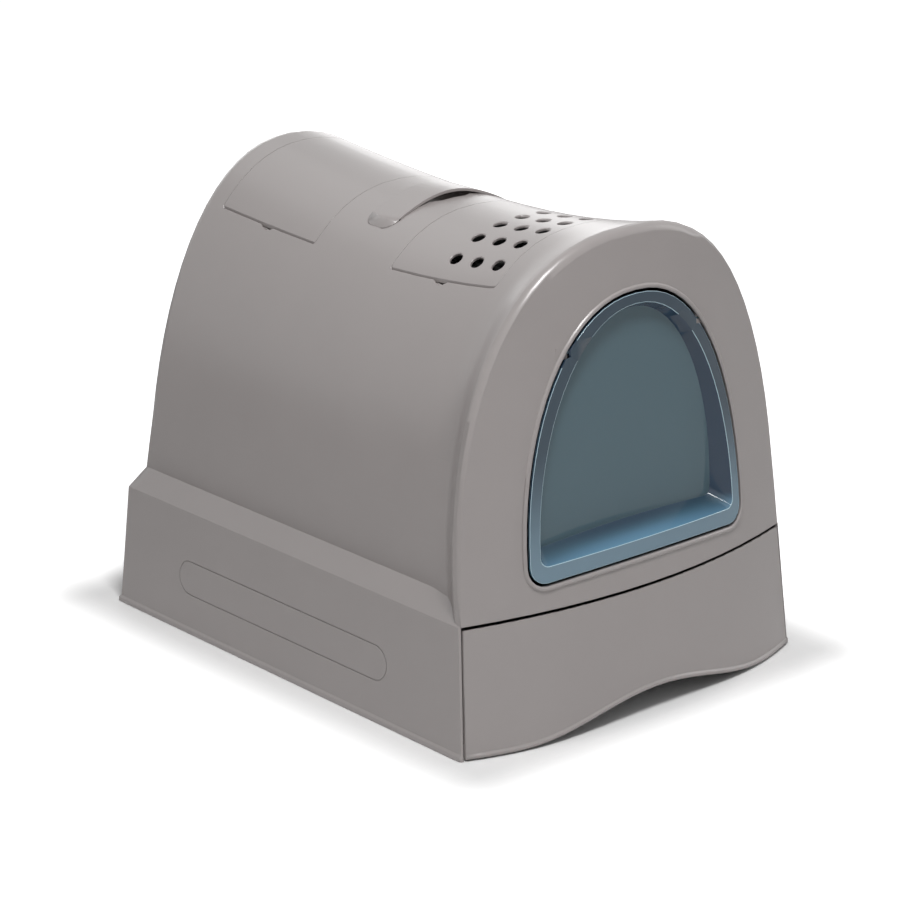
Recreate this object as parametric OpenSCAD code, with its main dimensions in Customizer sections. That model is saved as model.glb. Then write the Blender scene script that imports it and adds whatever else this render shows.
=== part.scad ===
// Hooded litter box with a swing door, a pull-out drawer, two hinged top lids and a carry handle.
// Origin: middle of the footprint on the floor. The front faces -Y and +Z is up. Millimetres.

/* [Hood] */
// Width across the foot flange
foot_w = 400; // [390:1:410]
// Length of each side between its front and rear corners
side_len = 490; // [484:1:500]
// Height of the hood at its front and rear rims
crest_h = 425; // [420:1:430]
// How far the crest sinks between the rims
crest_dip = 19.8; // [16:0.2:22]
// How much lower the crest lies in its front half than in its rear half
crest_skew = 5.5; // [0:0.5:7]
// Wall of the hood
wall = 2.8; // [2.4:0.1:3.2]
// Height of the skirt, which is also where the drawer front ends
seam_h = 115; // [112:1:118]
// How far each side of the skirt leans in
skirt_lean = 8; // [7:0.5:9]
// Width of the shoulder on each side of the arch
shoulder_w = 24; // [21:1:27]
// Height of the crease between shoulder and arch
crease_h = 128; // [126:1:131]
// Length over which the arch flares out to the front corners
flare_len = 30.5; // [26:0.5:36]
// Roundness of the arch across, at the front
front_nx = 2.43; // [2.3:0.01:2.5]
// Roundness of the arch upwards, at the front
front_nz = 2.34; // [2.2:0.01:2.4]
// Roundness of the arch across, at the rear
rear_nx = 2.19; // [2.1:0.01:2.3]
// Roundness of the arch upwards, at the rear
rear_nz = 2.07; // [2:0.01:2.2]
// How far the front and rear faces swell out in the middle
face_bulge = 29.5; // [26:0.5:32]
// How much fuller the front is at the foot, between its middle and its corners
foot_fill = 3; // [0:0.5:4]
// How far the drawer front leans back over its height
low_lean = 13; // [11:0.5:15]
// How much further the front face leans back above the drawer
top_lean = 30; // [28:0.5:32]
// How far the rear face leans forward over the full height
rear_lean = 42.5; // [40:0.5:45]
// Radius of the front rim
rim_r = 8.2; // [7:0.2:9]
// Radius of the rear rim
rear_rim_r = 13; // [11:0.5:15]
// Radius of the upright corners of the skirt
corner_r = 2.5; // [2:0.5:4]
// Height of the foot flange
lip_h = 3.5; // [3:0.5:4]
// How far the foot flange stands out
lip_out = 2; // [1.5:0.5:2.5]
// Length of the outlined panel on each side of the skirt
oval_len = 295; // [280:1:310]
// Height of the outlined panel
oval_h = 33; // [28:1:38]
// Height of the middle of the outlined panel
oval_z = 52.7; // [48:1:58]
// Width of the groove that outlines it
groove_w = 1.2; // [1:0.1:1.5]
// Depth of that groove
groove_d = 0.9; // [0.6:0.1:1.2]

/* [Doorway and door] */
// Width of the front face on each side of the doorway's foot
post_w = 40.5; // [38:0.5:43]
// Height of the front face above the doorway
lintel_h = 54.8; // [52:0.2:58]
// Height of the sill over the drawer front
sill_h = 21; // [19:0.5:23]
// How far the sill of the doorway bows up in its middle
way_bow = 4; // [3:0.5:6]
// Radius of the lower corners of the doorway
way_r = 18; // [14:0.5:20]
// Width of the raised bead round the doorway
bead_w = 4.2; // [3.6:0.1:5]
// How far the bead stands out
bead_out = 1.8; // [1.4:0.1:2.2]
// Gap between door and doorway
door_gap = 2.8; // [2.4:0.1:3.2]
// Thickness of the door
door_t = 2.4; // [2.2:0.1:2.8]
// How far the door's rim stands out from the front face
door_out = 0.8; // [0.4:0.1:1.2]
// Width of the door's rim at each side, with its gap
side_rim = 13; // [11:0.5:15]
// Width of the door's rim at its top, with its gap
top_rim = 11.7; // [10:0.1:13]
// Width of the door's rim at its foot, with its gap
foot_rim = 17; // [15:0.5:19]
// How far the lower edge of the dish bows up in its middle
dish_bow = 3; // [2:0.5:4]
// Depth of the dish under the front face, at its top
dish_depth = 8.6; // [8:0.2:10]
// How far the dish walls lean in towards the flat pane
dish_draft = 11; // [9:0.5:12]
// How far the door's pivots lie under the doorway's top
pivot_drop = 40.2; // [38:0.2:43]
// How far the pivots lie behind the front face
pivot_back = 2.75; // [2.6:0.05:3]
// Diameter of the pivot pins on the door
pivot_d = 3.6; // [3.2:0.2:4]
// Running clearance round the pivot pins
pivot_play = 0.05; // [0.03:0.01:0.1]

/* [Lids] */
// Width of each lid
lid_w = 196; // [190:1:200]
// Thickness of each lid
lid_t = 2.5; // [2.2:0.1:2.8]
// Gap at both ends of each lid and under it
lid_gap = 0.5; // [0.4:0.1:0.7]
// Gap along the free edge of each lid
free_gap = 1.7; // [1.2:0.1:2.2]
// Radius of the lids' corners
lid_r = 2; // [1:0.5:4]
// Length of the front lid
front_lid_len = 135; // [130:1:138]
// Length of the rear lid
rear_lid_len = 132.5; // [128:0.5:136]
// Distance from the handle's middle to each lid
lid_to_handle = 52; // [50:1:55]
// Width of the ledge that carries a lid
ledge_w = 4; // [3.5:0.5:5]
// Width of the lower step that carries a tray
step_w = 5; // [4.5:0.5:6]
// Diameter of the hinge bead along a lid's right edge
hinge_bead_d = 6.4; // [6:0.2:6.8]
// Diameter of the hinge pins
hinge_pin_d = 2.6; // [2.4:0.1:2.8]
// Running clearance round the hinge pins
hinge_play = 0.05; // [0.03:0.01:0.1]
// Depth of the hinge axis under the surface at the ends of a lid
hinge_sink = 2; // [1.8:0.1:2.1]
// Diameter of the air holes
hole_d = 12; // [10:0.5:13]
// Distance between air holes along the hood
hole_pitch_y = 26.5; // [25:0.5:28]
// Distance between air holes across the hood
hole_pitch_x = 25.4; // [24:0.2:26.4]
// Width of the finger notch beside each lid
notch_w = 23; // [20:1:26]
// How far inside the lid's edge the middle of the notch lies
notch_in = 4; // [3:0.5:6]
// Depth of the notch in its middle
notch_d = 8; // [6:0.5:9]

/* [Carry handle] */
// Place of the handle's middle along the hood
handle_y = 15; // [12:1:18]
// Length of the handle across the hood
handle_len = 144; // [138:1:150]
// Width of the handle
handle_w = 35; // [32:1:38]
// Thickness of the handle
handle_t = 2.6; // [2.4:0.1:3]
// How far the middle of the handle stands over the hood
handle_rise = 5.6; // [5:0.2:6.4]
// Radius of the finger hollow under the handle
hollow_r = 26; // [25:0.5:27]

/* [Drawer] */
// Gap round the drawer front
drawer_gap = 2; // [1.6:0.1:2.4]
// Thickness of the drawer front
panel_t = 2.6; // [2.4:0.1:3]
// Height of the finger arch in the drawer front
finger_h = 21; // [17:1:23]
// Half the width of the finger arch
finger_half = 150; // [140:1:160]
// Height of the litter tray's rim
tray_top = 106; // [102:1:108]
// Wall of the litter tray
tray_t = 2.4; // [2.2:0.1:2.8]
// How far the drawer pulls out
drawer_travel = 410; // [380:5:415]

/* [Base and fittings] */
// Thickness of the floor pan
pan_t = 3; // [2.6:0.1:3.4]
// Height of the rubber feet
foot_h = 3; // [2.6:0.1:3.4]
// Diameter of the rubber feet
foot_d = 18; // [16:1:22]
// Diameter of the screws
screw_d = 3; // [2.6:0.1:3.2]
// Depth of the filter tray's floor below the crest
filter_drop = 58; // [54:1:62]
// Thickness of the carbon filter
filter_t = 10; // [8:0.5:11]
// Depth of the storage well's floor below the crest
store_drop = 100; // [94:1:106]
// Wall of the two drop-in trays
well_t = 2; // [1.8:0.1:2.4]

/* [Hidden] */

$fn = 64;
eps = 0.01;
arch_cells = 36;
face_cells = 12;
rim_steps = 3;
seam_step = 0.8;
rim_rise = 60;
seat = 0.3;
seam_w = foot_w - 2 * skirt_lean;
arch_w = seam_w - 2 * shoulder_w;
way_w = arch_w - 2 * post_w;
way_top = crest_h - lintel_h;
way_low = seam_h + sill_h;
dish_w = way_w - 2 * side_rim;
dish_top = way_top - top_rim;
dish_low = way_low + foot_rim;
pivot_h = way_top - pivot_drop;

// Fractions of the length at which the hood's sections lie, closer together in the front flare
mid_s = [rim_r / side_len, 0.035, 0.06, 0.09, 0.14, 0.2, 0.27, 0.34, 0.42, 0.5, 0.58, 0.66, 0.74,
    0.82, 0.89, 0.945, 1 - rear_rim_r / side_len];
n_st = len(mid_s) + 2 * rim_steps;
low_pts = 4;
ring_n = arch_cells + 1 + 2 * low_pts;
mid_k = (ring_n - 1) / 2;

// Shape of the arch
function power(c, e) = sign(c) * pow(abs(c), 2 / e);
function flare(s) = exp(-pow(s * side_len / flare_len, 2));
function half_arch(s) = arch_w / 2 + (seam_w / 2 - seam_step - arch_w / 2) * flare(s);
function arch_foot(s) = crease_h + (seam_h + seam_step - crease_h) * flare(s);
function crest(s) = crest_h - 4 * s * (1 - s) * (crest_dip + crest_skew * (1 - 2 * s));
function nx(s) = front_nx + (rear_nx - front_nx) * s;
function nz(s) = front_nz + (rear_nz - front_nz) * s;

// Shape of the front and rear faces
function swell(x) = face_bulge * (1 - pow(2 * x / seam_w, 2));
function fill(x, z) = let (q = pow(2 * x / seam_w, 2))
    4 * foot_fill * q * max(1 - q, 0) * (1 - min(z / seam_h, 1));
function front_y(x, z) = -side_len / 2 + low_lean * min(z / seam_h, 1)
    + top_lean * max(z - seam_h, 0) / (crest_h - seam_h) - swell(x) - fill(x, z);
function rear_y(x, z) = side_len / 2 - rear_lean * z / crest_h + swell(x);
function body_y(s, x, z) = (1 - s) * front_y(x, z) + s * rear_y(x, z);

// One point of the cross section: k runs from the left foot over the crest to the right foot,
// t is the depth under the outer surface and u draws the section in at the rims
function low_pt(k, t, u) = k == 0 ? [foot_w / 2 - u - (t > 0 ? lip_out + t : 0), 0]
    : k == 1 ? [foot_w / 2 - u - (t > 0 ? lip_out + t : 0), lip_h]
    : k == 2 ? [foot_w / 2 - lip_out - t - u, lip_h + lip_out]
    : [seam_w / 2 - t - u, seam_h - 0.75 * (t + u)];
function arch_pt(s, a, d) = let (z0 = arch_foot(s) - 0.75 * d)
    [(half_arch(s) - d) * power(cos(a), nx(s)), z0 + (crest(s) - d - z0) * pow(abs(sin(a)), 2 / nz(s))];
function section(s, k, t, u) = k < low_pts ? [-low_pt(k, t, u)[0], low_pt(k, t, u)[1]]
    : k >= ring_n - low_pts ? low_pt(ring_n - 1 - k, t, u)
    : arch_pt(s, 180 * (1 - (k - low_pts) / arch_cells), t + u);

// One point of the hood's skin: i counts the sections from front to rear and e is how far the
// end faces are drawn in
function at_front(i) = i < rim_steps;
function at_rear(i) = i >= n_st - rim_steps;
function rim_angle(i) = at_front(i) ? 90 * i / rim_steps : at_rear(i) ? 90 * (n_st - 1 - i) / rim_steps : 90;
function rim_at(i, z) = let (r = i < n_st / 2 ? rim_r : rear_rim_r)
    corner_r + (r - corner_r) * min(max((z - seam_h) / rim_rise, 0), 1);
function frac(i, z) = let (step = rim_at(i, z) * (1 - cos(rim_angle(i))) / side_len)
    at_front(i) ? step : at_rear(i) ? 1 - step : mid_s[i - rim_steps];
function foot_lip(s, k, t) = t > 0 || (k > 1 && k < ring_n - 2) ? 0 : lip_out * s;
function skin(i, k, t, e = 0) = let (
        s0 = frac(i, crest_h),
        z0 = section(s0, k, 0, 0)[1],
        p = section(s0, k, t, rim_at(i, z0) * (1 - sin(rim_angle(i)))),
        s = e / side_len + frac(i, z0) * (1 - 2 * e / side_len))
    [p[0], body_y(s, p[0], p[1]) + foot_lip(s, k, t), p[1]];

// Height of the arch over a point of the plan, found by three rounds of correction
function frac_at(x, y, z) = (y - front_y(x, z)) / (rear_y(x, z) - front_y(x, z));
function arch_z(x, s, d) = let (z0 = arch_foot(s) - 0.75 * d, q = min(abs(x) / (half_arch(s) - d), 1))
    z0 + (crest(s) - d - z0) * pow(1 - pow(q, nx(s)), 1 / nz(s));
function top_z(x, y, d = 0, z = 400, n = 3) =
    n == 0 ? z : top_z(x, y, d, arch_z(x, frac_at(x, y, z), d), n - 1);
function top_tilt(x, y) = atan((top_z(x - 1, y) - top_z(x + 1, y)) / 2);

// The end faces of the skin: a grid between the left and right points of a section's lower half
function end_s(i, e) = i == 0 ? e / side_len : 1 - e / side_len;
function face_pts(i, t, e) = [for (k = [0 : mid_k - 1], j = [1 : face_cells - 1])
    let (p = skin(i, k, t, e), x = p[0] * (1 - 2 * j / face_cells), s = end_s(i, e))
    [x, body_y(s, x, p[2]) + foot_lip(s, k, t), p[2]]];
function skin_pts(t, e) = concat(
    [for (i = [0 : n_st - 1], k = [0 : ring_n - 1]) skin(i, k, t, e)],
    face_pts(0, t, e), face_pts(n_st - 1, t, e));
face_n = mid_k * (face_cells - 1);
skin_n = n_st * ring_n + 2 * face_n;
function face_at(c, k, j) = j == 0 ? (c == 0 ? 0 : n_st - 1) * ring_n + k
    : j == face_cells ? (c == 0 ? 0 : n_st - 1) * ring_n + ring_n - 1 - k
    : n_st * ring_n + c * face_n + k * (face_cells - 1) + j - 1;
function quad(a, b, c, d) = [[a, b, c], [a, c, d]];
function flip(f) = [for (t = f) [t[0], t[2], t[1]]];
function end_faces(c) = concat(
    [for (k = [0 : mid_k - 2], j = [0 : face_cells - 1])
        each quad(face_at(c, k, j), face_at(c, k + 1, j), face_at(c, k + 1, j + 1), face_at(c, k, j + 1))],
    [for (j = [0 : face_cells - 1])
        [face_at(c, mid_k - 1, j), (c == 0 ? 0 : n_st - 1) * ring_n + mid_k, face_at(c, mid_k - 1, j + 1)]]);
function skin_faces() = concat(
    [for (i = [0 : n_st - 2], k = [0 : ring_n - 2])
        each quad(i * ring_n + k, (i + 1) * ring_n + k, (i + 1) * ring_n + k + 1, i * ring_n + k + 1)],
    end_faces(0), flip(end_faces(1)));
function foot_loop() = concat(
    [for (j = [0 : face_cells]) face_at(0, 0, j)],
    [for (i = [1 : n_st - 2]) i * ring_n + ring_n - 1],
    [for (j = [0 : face_cells]) face_at(1, 0, face_cells - j)],
    [for (i = [1 : n_st - 2]) (n_st - 1 - i) * ring_n]);
function shift(f, n) = [for (t = f) [for (v = t) v + n]];

// The hood's wall as one closed skin, open at the foot
module shell() {
    loop = foot_loop();
    m = len(loop);
    polyhedron(
        concat(skin_pts(0, 0), skin_pts(wall, wall)),
        concat(skin_faces(), shift(flip(skin_faces()), skin_n),
            [for (j = [0 : m - 1]) let (a = loop[j], b = loop[(j + 1) % m])
                each quad(a, b, b + skin_n, a + skin_n)]),
        convexity = 10);
}

// A slab of the hood's top between two depths, on the same grid as the skin itself. With a floor
// height its underside is flat instead
first_k = low_pts + 10;
last_k = ring_n - 1 - first_k;
module slab(i0, i1, t0, t1, floor_z = -1, k0 = first_k, k1 = last_k) {
    w = k1 - k0 + 1;
    m = (i1 - i0 + 1) * w;
    top = [for (i = [i0 : i1], k = [k0 : k1]) skin(i, k, t0)];
    low = floor_z < 0 ? [for (i = [i0 : i1], k = [k0 : k1]) skin(i, k, t1)]
        : [for (p = top) [p[0], p[1], floor_z]];
    up = [for (i = [0 : i1 - i0 - 1], k = [0 : w - 2])
        each quad(i * w + k, (i + 1) * w + k, (i + 1) * w + k + 1, i * w + k + 1)];
    edge = concat([for (k = [0 : w - 1]) k], [for (i = [1 : i1 - i0]) i * w + w - 1],
        [for (k = [1 : w - 1]) m - 1 - k], [for (i = [1 : i1 - i0 - 1]) (i1 - i0 - i) * w]);
    n = len(edge);
    polyhedron(concat(top, low), concat(up, shift(flip(up), m),
        [for (j = [0 : n - 1]) let (a = edge[j], b = edge[(j + 1) % n]) each quad(a, b, b + m, a + m)]),
        convexity = 6);
}
front_i = [rim_steps + 3, rim_steps + 9];
mid_i = [rim_steps + 8, rim_steps + 11];
rear_i = [rim_steps + 10, rim_steps + 16];

// Outline of doorway, door and dish: an arch over two rounded lower corners and a bowed sill
out_a = 36;
out_c = 5;
out_b = 5;
function outline(w, low, top, r, bow, off, ex, ez) = concat(
    [for (j = [0 : out_a]) let (a = 180 * j / out_a)
        [(w / 2 + off) * power(cos(a), ex), low + r + (top - low - r + off) * pow(abs(sin(a)), 2 / ez)]],
    [for (j = [1 : out_c]) let (a = 180 + 90 * j / out_c)
        [r - w / 2 + (r + off) * cos(a), low + r + (r + off) * sin(a)]],
    [for (j = [1 : out_b]) let (q = 2 * j / (out_b + 1) - 1)
        [q * (w / 2 - r), low - off + bow * (1 - q * q)]],
    [for (j = [0 : out_c - 1]) let (a = 270 + 90 * j / out_c)
        [w / 2 - r + (r + off) * cos(a), low + r + (r + off) * sin(a)]]);
out_n = out_a + 1 + 2 * out_c + out_b;
function doorway(off) = outline(way_w, way_low, way_top, way_r, way_bow, off, 2.2, 2.05);
function dish(off) = outline(dish_w, dish_low, dish_top, 8, dish_bow, off, 2.1, 1.92);

// Closed rings of points joined one after another; a loft ends in a fan round a tip at each end
function ring_faces(rings, n, closed) = [for (i = [0 : rings - (closed ? 1 : 2)], j = [0 : n - 1])
    let (a = i * n, b = ((i + 1) % rings) * n, k = (j + 1) % n) each quad(a + j, b + j, b + k, a + k)];
function cap_faces(at, n, tip) = [for (j = [0 : n - 1]) [at + j, at + (j + 1) % n, tip]];
module loft(rings, tip0, tip1) {
    n = len(rings[0]);
    m = len(rings) * n;
    polyhedron(concat([for (r = rings) each r], [tip0, tip1]),
        concat(ring_faces(len(rings), n, false), cap_faces(0, n, m), flip(cap_faces(m - n, n, m + 1))),
        convexity = 8);
}
module sweep(rings) {
    n = len(rings[0]);
    polyhedron([for (r = rings) each r], ring_faces(len(rings), n, true), convexity = 8);
}

// An upright block with rounded corners between two plan corners
module rounded(x0, x1, y0, y1, r) {
    translate([x0 + r, y0])
    square([x1 - x0 - 2 * r, y1 - y0]);
    translate([x0, y0 + r])
    square([x1 - x0, y1 - y0 - 2 * r]);
    for (x = [x0 + r, x1 - r], y = [y0 + r, y1 - r])
        translate([x, y])
        circle(r);
}
module plan(x0, x1, y0, y1, r) {
    translate([0, 0, 200])
    linear_extrude(300)
    rounded(x0, x1, y0, y1, r);
}
module rod(p, q, r) {
    d = q - p;
    translate(p)
    rotate([atan2(d[2], d[1]) - 90, 0, 0])
    cylinder(h = norm(d), r = r);
}
module across(x0, x1, y, z, r) {
    translate([x0, y, z])
    rotate([0, 90, 0])
    cylinder(h = x1 - x0, r = r);
}

// Places of the two lids and of what hangs under them
lid_x = lid_w / 2;
front_y1 = handle_y - lid_to_handle;
front_y0 = front_y1 - front_lid_len;
rear_y0 = handle_y + lid_to_handle;
rear_y1 = rear_y0 + rear_lid_len;
trough_r = hinge_bead_d / 2 + 2.4;
groove_r = hinge_bead_d / 2 + seat;
well_x1 = lid_x - trough_r - 1.4;
well_x0 = -lid_x + ledge_w;
knuckle = 7;
ledge_t = lid_t + lid_gap;
flange_t = 1.4;
step_t = ledge_t + flange_t + 2 * seat;
frame_t = step_t + 2.4;
function hinge_at(y) = [lid_x, y, top_z(lid_x, y) - hinge_sink];
function hinge_pt(y, y0, y1) = let (a = hinge_at(y0), b = hinge_at(y1)) a + (b - a) * (y - y0) / (y1 - y0);

module hinge_rod(y0, y1, from, to, r) {
    rod(hinge_pt(from, y0, y1), hinge_pt(to, y0, y1), r);
}
module notch(y, out) {
    r = (notch_w * notch_w / 4 + notch_in * notch_in + notch_d * notch_d) / (2 * notch_d);
    x = notch_in - lid_x;
    a = top_tilt(x, y);
    translate([x + (r - notch_d) * sin(a), y, top_z(x, y) + (r - notch_d) * cos(a)])
    sphere(r + out);
}

// What the hood carries for one lid: frame, ledge and hinge trough
module lid_frame(i, y0, y1, notch_at) {
    intersection() {
        slab(i[0], i[1], 1.4, frame_t);
        plan(-lid_x - 5, lid_x + 6, y0 - knuckle - 2, y1 + knuckle + 2, 5);
    }
    intersection() {
        slab(i[0], i[1], 1.4, 14, -1, first_k, first_k + 5);
        notch(notch_at, 2.4);
    }
}
module lid_hollow(i, y0, y1, notch_at) {
    intersection() {
        slab(i[0], i[1], -4, ledge_t);
        union() {
            plan(-lid_x - free_gap, lid_x, y0 - lid_gap, y1 + lid_gap, lid_r + lid_gap);
            plan(0, lid_x + 2, y0 - lid_gap, y1 + lid_gap, 0.5);
        }
    }
    intersection() {
        slab(i[0], i[1], 1, step_t);
        plan(well_x0, well_x1, y0 + ledge_w, y1 - ledge_w, 4);
    }
    plan(well_x0 + step_w, well_x1 - step_w, y0 + ledge_w + step_w, y1 - ledge_w - step_w, 6);
    hinge_rod(y0, y1, y0 - lid_gap, y1 + lid_gap, groove_r);
    notch(notch_at, 0);
}
module lid_knuckles(y0, y1) {
    hinge_rod(y0, y1, y0 - lid_gap - knuckle, y0 - lid_gap, hinge_bead_d / 2);
    hinge_rod(y0, y1, y1 + lid_gap, y1 + lid_gap + knuckle, hinge_bead_d / 2);
}

// The raised bead round the doorway
module way_bead() {
    rim = [[bead_w, -1.4], [bead_w - 0.4, bead_out / 2], [bead_w - 1.5, bead_out], [1.2, bead_out],
        [-0.8, 0], [-0.8, -1.4]];
    sweep([for (p = rim) [for (q = doorway(p[0])) [q[0], front_y(q[0], q[1]) - p[1], q[1]]]]);
}
module way_hole() {
    translate([0, -180, 0])
    rotate([90, 0, 0])
    linear_extrude(140)
    polygon(doorway(0));
}

// The drawer's opening: half its width at a height. The drawer front's wavy lower edge
function side_lean(z) = seam_w / 2 - 2 + 6.6 * (seam_h - z) / seam_h;
function wave(x) = abs(x) > finger_half ? 0 : finger_h * pow(cos(90 * x / finger_half), 2);
module drawer_hole() {
    translate([0, -230, 0])
    rotate([90, 0, 0])
    linear_extrude(80)
    polygon([[-side_lean(-5), -5], [side_lean(-5), -5], [side_lean(seam_h), seam_h],
        [-side_lean(seam_h), seam_h]]);
}

// The outlined panel on each side of the skirt
module oval(grow) {
    square([oval_len - oval_h, oval_h + 2 * grow], center = true);
    for (x = [-1, 1])
        translate([x * (oval_len - oval_h) / 2, 0])
        circle(oval_h / 2 + grow);
}
module side_groove() {
    slope = atan((foot_w / 2 - lip_out - seam_w / 2) / (seam_h - lip_h - lip_out));
    x = foot_w / 2 - lip_out - (oval_z - lip_h - lip_out) * tan(slope);
    for (side = [0, 1])
        mirror([side, 0, 0])
        translate([x, 4, oval_z])
        rotate([0, -slope, 0])
        rotate([90, 0, 90])
        translate([0, 0, -groove_d])
        linear_extrude(6)
        difference() {
            oval(0);
            oval(-groove_w);
        }
}

// Handle: how high its top stands over the hood, and the band between top and underside
handle_end = 0.9;
function strap_up(x) = let (q = abs(x) / 62)
    top_z(x, handle_y) + handle_end + (q < 1 ? (handle_rise - handle_end) * pow(cos(90 * q), 2) : 0);
strap_xs = [for (j = [-18 : 18]) j * handle_len / 36];
module strap(x0, x1, up, down) {
    xs = [for (x = strap_xs) if (x >= x0 - eps && x <= x1 + eps) x];
    n = len(xs);
    translate([0, handle_y + handle_w, 0])
    rotate([90, 0, 0])
    linear_extrude(2 * handle_w)
    polygon(concat([for (x = xs) [x, strap_up(x) + up]],
        [for (j = [1 : n]) [xs[n - j], strap_up(xs[n - j]) - handle_t - down]]));
}
module strap_plan(grow) {
    r = 12;
    plan(-handle_len / 2 - grow, handle_len / 2 + grow, handle_y - handle_w / 2 - grow,
        handle_y + handle_w / 2 + grow, r + grow);
}
stud_x = 58;
stud_r = 3;
boss_z = top_z(stud_x, handle_y) - 12;
module finger_hollow(grow) {
    z = top_z(0, handle_y) + 13;
    for (x = [-10, 10])
        translate([x, handle_y, z])
        sphere(hollow_r + grow);
    translate([-10, handle_y, z])
    rotate([0, 90, 0])
    cylinder(h = 20, r = hollow_r + grow);
}

// Door pivots, placed from the doorway's half width at their height
way_x = way_w / 2 * pow(1 - pow((pivot_h - way_low - way_r) / (way_top - way_low - way_r), 2.05), 1 / 2.2);
axis_y = front_y(way_x + 1.5, pivot_h) + pivot_back;
pin_r = pivot_d / 2;
pin_in = way_x - 16.5;
pin_out = way_x + 3.5;
shoulder_x = way_x - 4.9;
boss_x = way_x - 3.3;
sweep_r = pivot_back + bead_out + 1.4;

module pivot_boss() {
    for (side = [0, 1])
        mirror([side, 0, 0])
        intersection() {
            across(boss_x, boss_x + 12.8, axis_y, pivot_h, 5.5);
            translate([0, axis_y - pivot_back + 1.2, pivot_h - 20])
            cube([boss_x + 25, 20, 40]);
        }
}

module handle_seat() {
    intersection() {
        slab(mid_i[0], mid_i[1], 1.4, 24);
        union() {
            finger_hollow(2.6);
            for (x = [-stud_x, stud_x])
                translate([x, handle_y, boss_z])
                cylinder(h = 40, r = 9);
            for (x = [-1, 1])
                intersection() {
                    slab(mid_i[0], mid_i[1], 1.4, 5.6);
                    plan(x * 54 - 24, x * 54 + 24, handle_y - 21, handle_y + 21, 8);
                }
        }
    }
}

module hood() {
    color("silver")
    difference() {
        union() {
            difference() {
                union() {
                    shell();
                    way_bead();
                    lid_frame(front_i, front_y0, front_y1, front_y0 + 69);
                    lid_frame(rear_i, rear_y0, rear_y1, rear_y0 + 66);
                    handle_seat();
                    screw_bosses();
                }
                way_hole();
                drawer_hole();
                side_groove();
                lid_hollow(front_i, front_y0, front_y1, front_y0 + 69);
                lid_hollow(rear_i, rear_y0, rear_y1, rear_y0 + 66);
                finger_hollow(0);
                intersection() {
                    union() {
                        strap(-handle_len / 2 - 1, -30, 12, seat);
                        strap(30, handle_len / 2 + 1, 12, seat);
                    }
                    strap_plan(0.4);
                }
                for (x = [-stud_x, stud_x])
                    translate([x, handle_y, boss_z - 10])
                    cylinder(h = 50, r = stud_r + 0.1);
            }
            lid_knuckles(front_y0, front_y1);
            lid_knuckles(rear_y0, rear_y1);
            pivot_boss();
        }
        for (y = [[front_y0, front_y1], [rear_y0, rear_y1]])
            hinge_rod(y[0], y[1], y[0] - 6, y[1] + 6, hinge_pin_d / 2 + hinge_play);
        for (side = [0, 1])
            mirror([side, 0, 0])
            across(boss_x - 6, pin_out + 0.6, axis_y, pivot_h, pin_r + pivot_play);
        for (side = [0, 1], y = screw_ys)
            mirror([side, 0, 0])
            translate([screw_x, y, 0])
            cylinder(h = 28, r = screw_d / 2 + 0.1);
    }
}

// Floor pan and what is fixed to it
pan_top = foot_h + pan_t;
screw_x = foot_w / 2 - 11.5;
screw_ys = [55 - side_len / 2, 0, side_len / 2 - 45];
foot_x = foot_w / 2 - 42;
foot_ys = [50 - side_len / 2, 10, side_len / 2 - 30];
rail_x0 = foot_w / 2 - 54;
rail_x1 = foot_w / 2 - 25;
screw_boss = 24;
module screw_bosses() {
    for (side = [0, 1], y = screw_ys)
        mirror([side, 0, 0]) {
            translate([screw_x, y, pan_top + seat])
            cylinder(h = screw_boss, r = 4.2);
            translate([screw_x, y - 2, pan_top + seat])
            cube([foot_w / 2 - lip_out - 3 - screw_x, 4, screw_boss]);
        }
}
function pan_pts(off) = let (hw = foot_w / 2 - lip_out - wall - 1.4 - off) concat(
    [[-hw, off + 23 - side_len / 2], [hw, off + 23 - side_len / 2]],
    [for (j = [0 : 12]) let (x = hw * (1 - j / 6)) [x, rear_y(x, 12) - wall - 1.2 - off]]);
module base_pan() {
    color("dimgray")
    difference() {
        union() {
            translate([0, 0, foot_h])
            linear_extrude(pan_t)
            polygon(pan_pts(0));
            translate([0, 0, foot_h + 1])
            linear_extrude(pan_t + 6)
            difference() {
                polygon(pan_pts(0));
                polygon(pan_pts(2));
            }
        }
        translate([22 - foot_w / 2, 15 - side_len / 2, pan_top])
        cube([foot_w - 44, 20, 20]);
        for (side = [0, 1], y = screw_ys)
            mirror([side, 0, 0])
            translate([screw_x, y, 0]) {
                cylinder(h = foot_h + 1.8, r = 3.1);
                cylinder(h = 20, r = screw_d / 2 + 0.1);
                translate([0, 0, pan_top])
                cylinder(h = 20, r = 4.6);
                translate([0, -2.6, pan_top])
                cube([10, 5.2, 20]);
            }
        for (side = [0, 1], y = foot_ys)
            mirror([side, 0, 0])
            translate([foot_x, y, 0])
            cylinder(h = 20, r = 3.1);
    }
}
module base_screws() {
    color("gray")
    for (side = [0, 1], y = screw_ys)
        mirror([side, 0, 0])
        translate([screw_x, y, foot_h + 0.1]) {
            cylinder(h = 1.6, r = 2.9);
            cylinder(h = 20, r = screw_d / 2);
        }
}
module rubber_feet() {
    color("black")
    for (side = [0, 1], y = foot_ys)
        mirror([side, 0, 0])
        translate([foot_x, y, 0]) {
            cylinder(h = foot_h, r = foot_d / 2);
            cylinder(h = pan_top, r = 3);
        }
}

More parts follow.
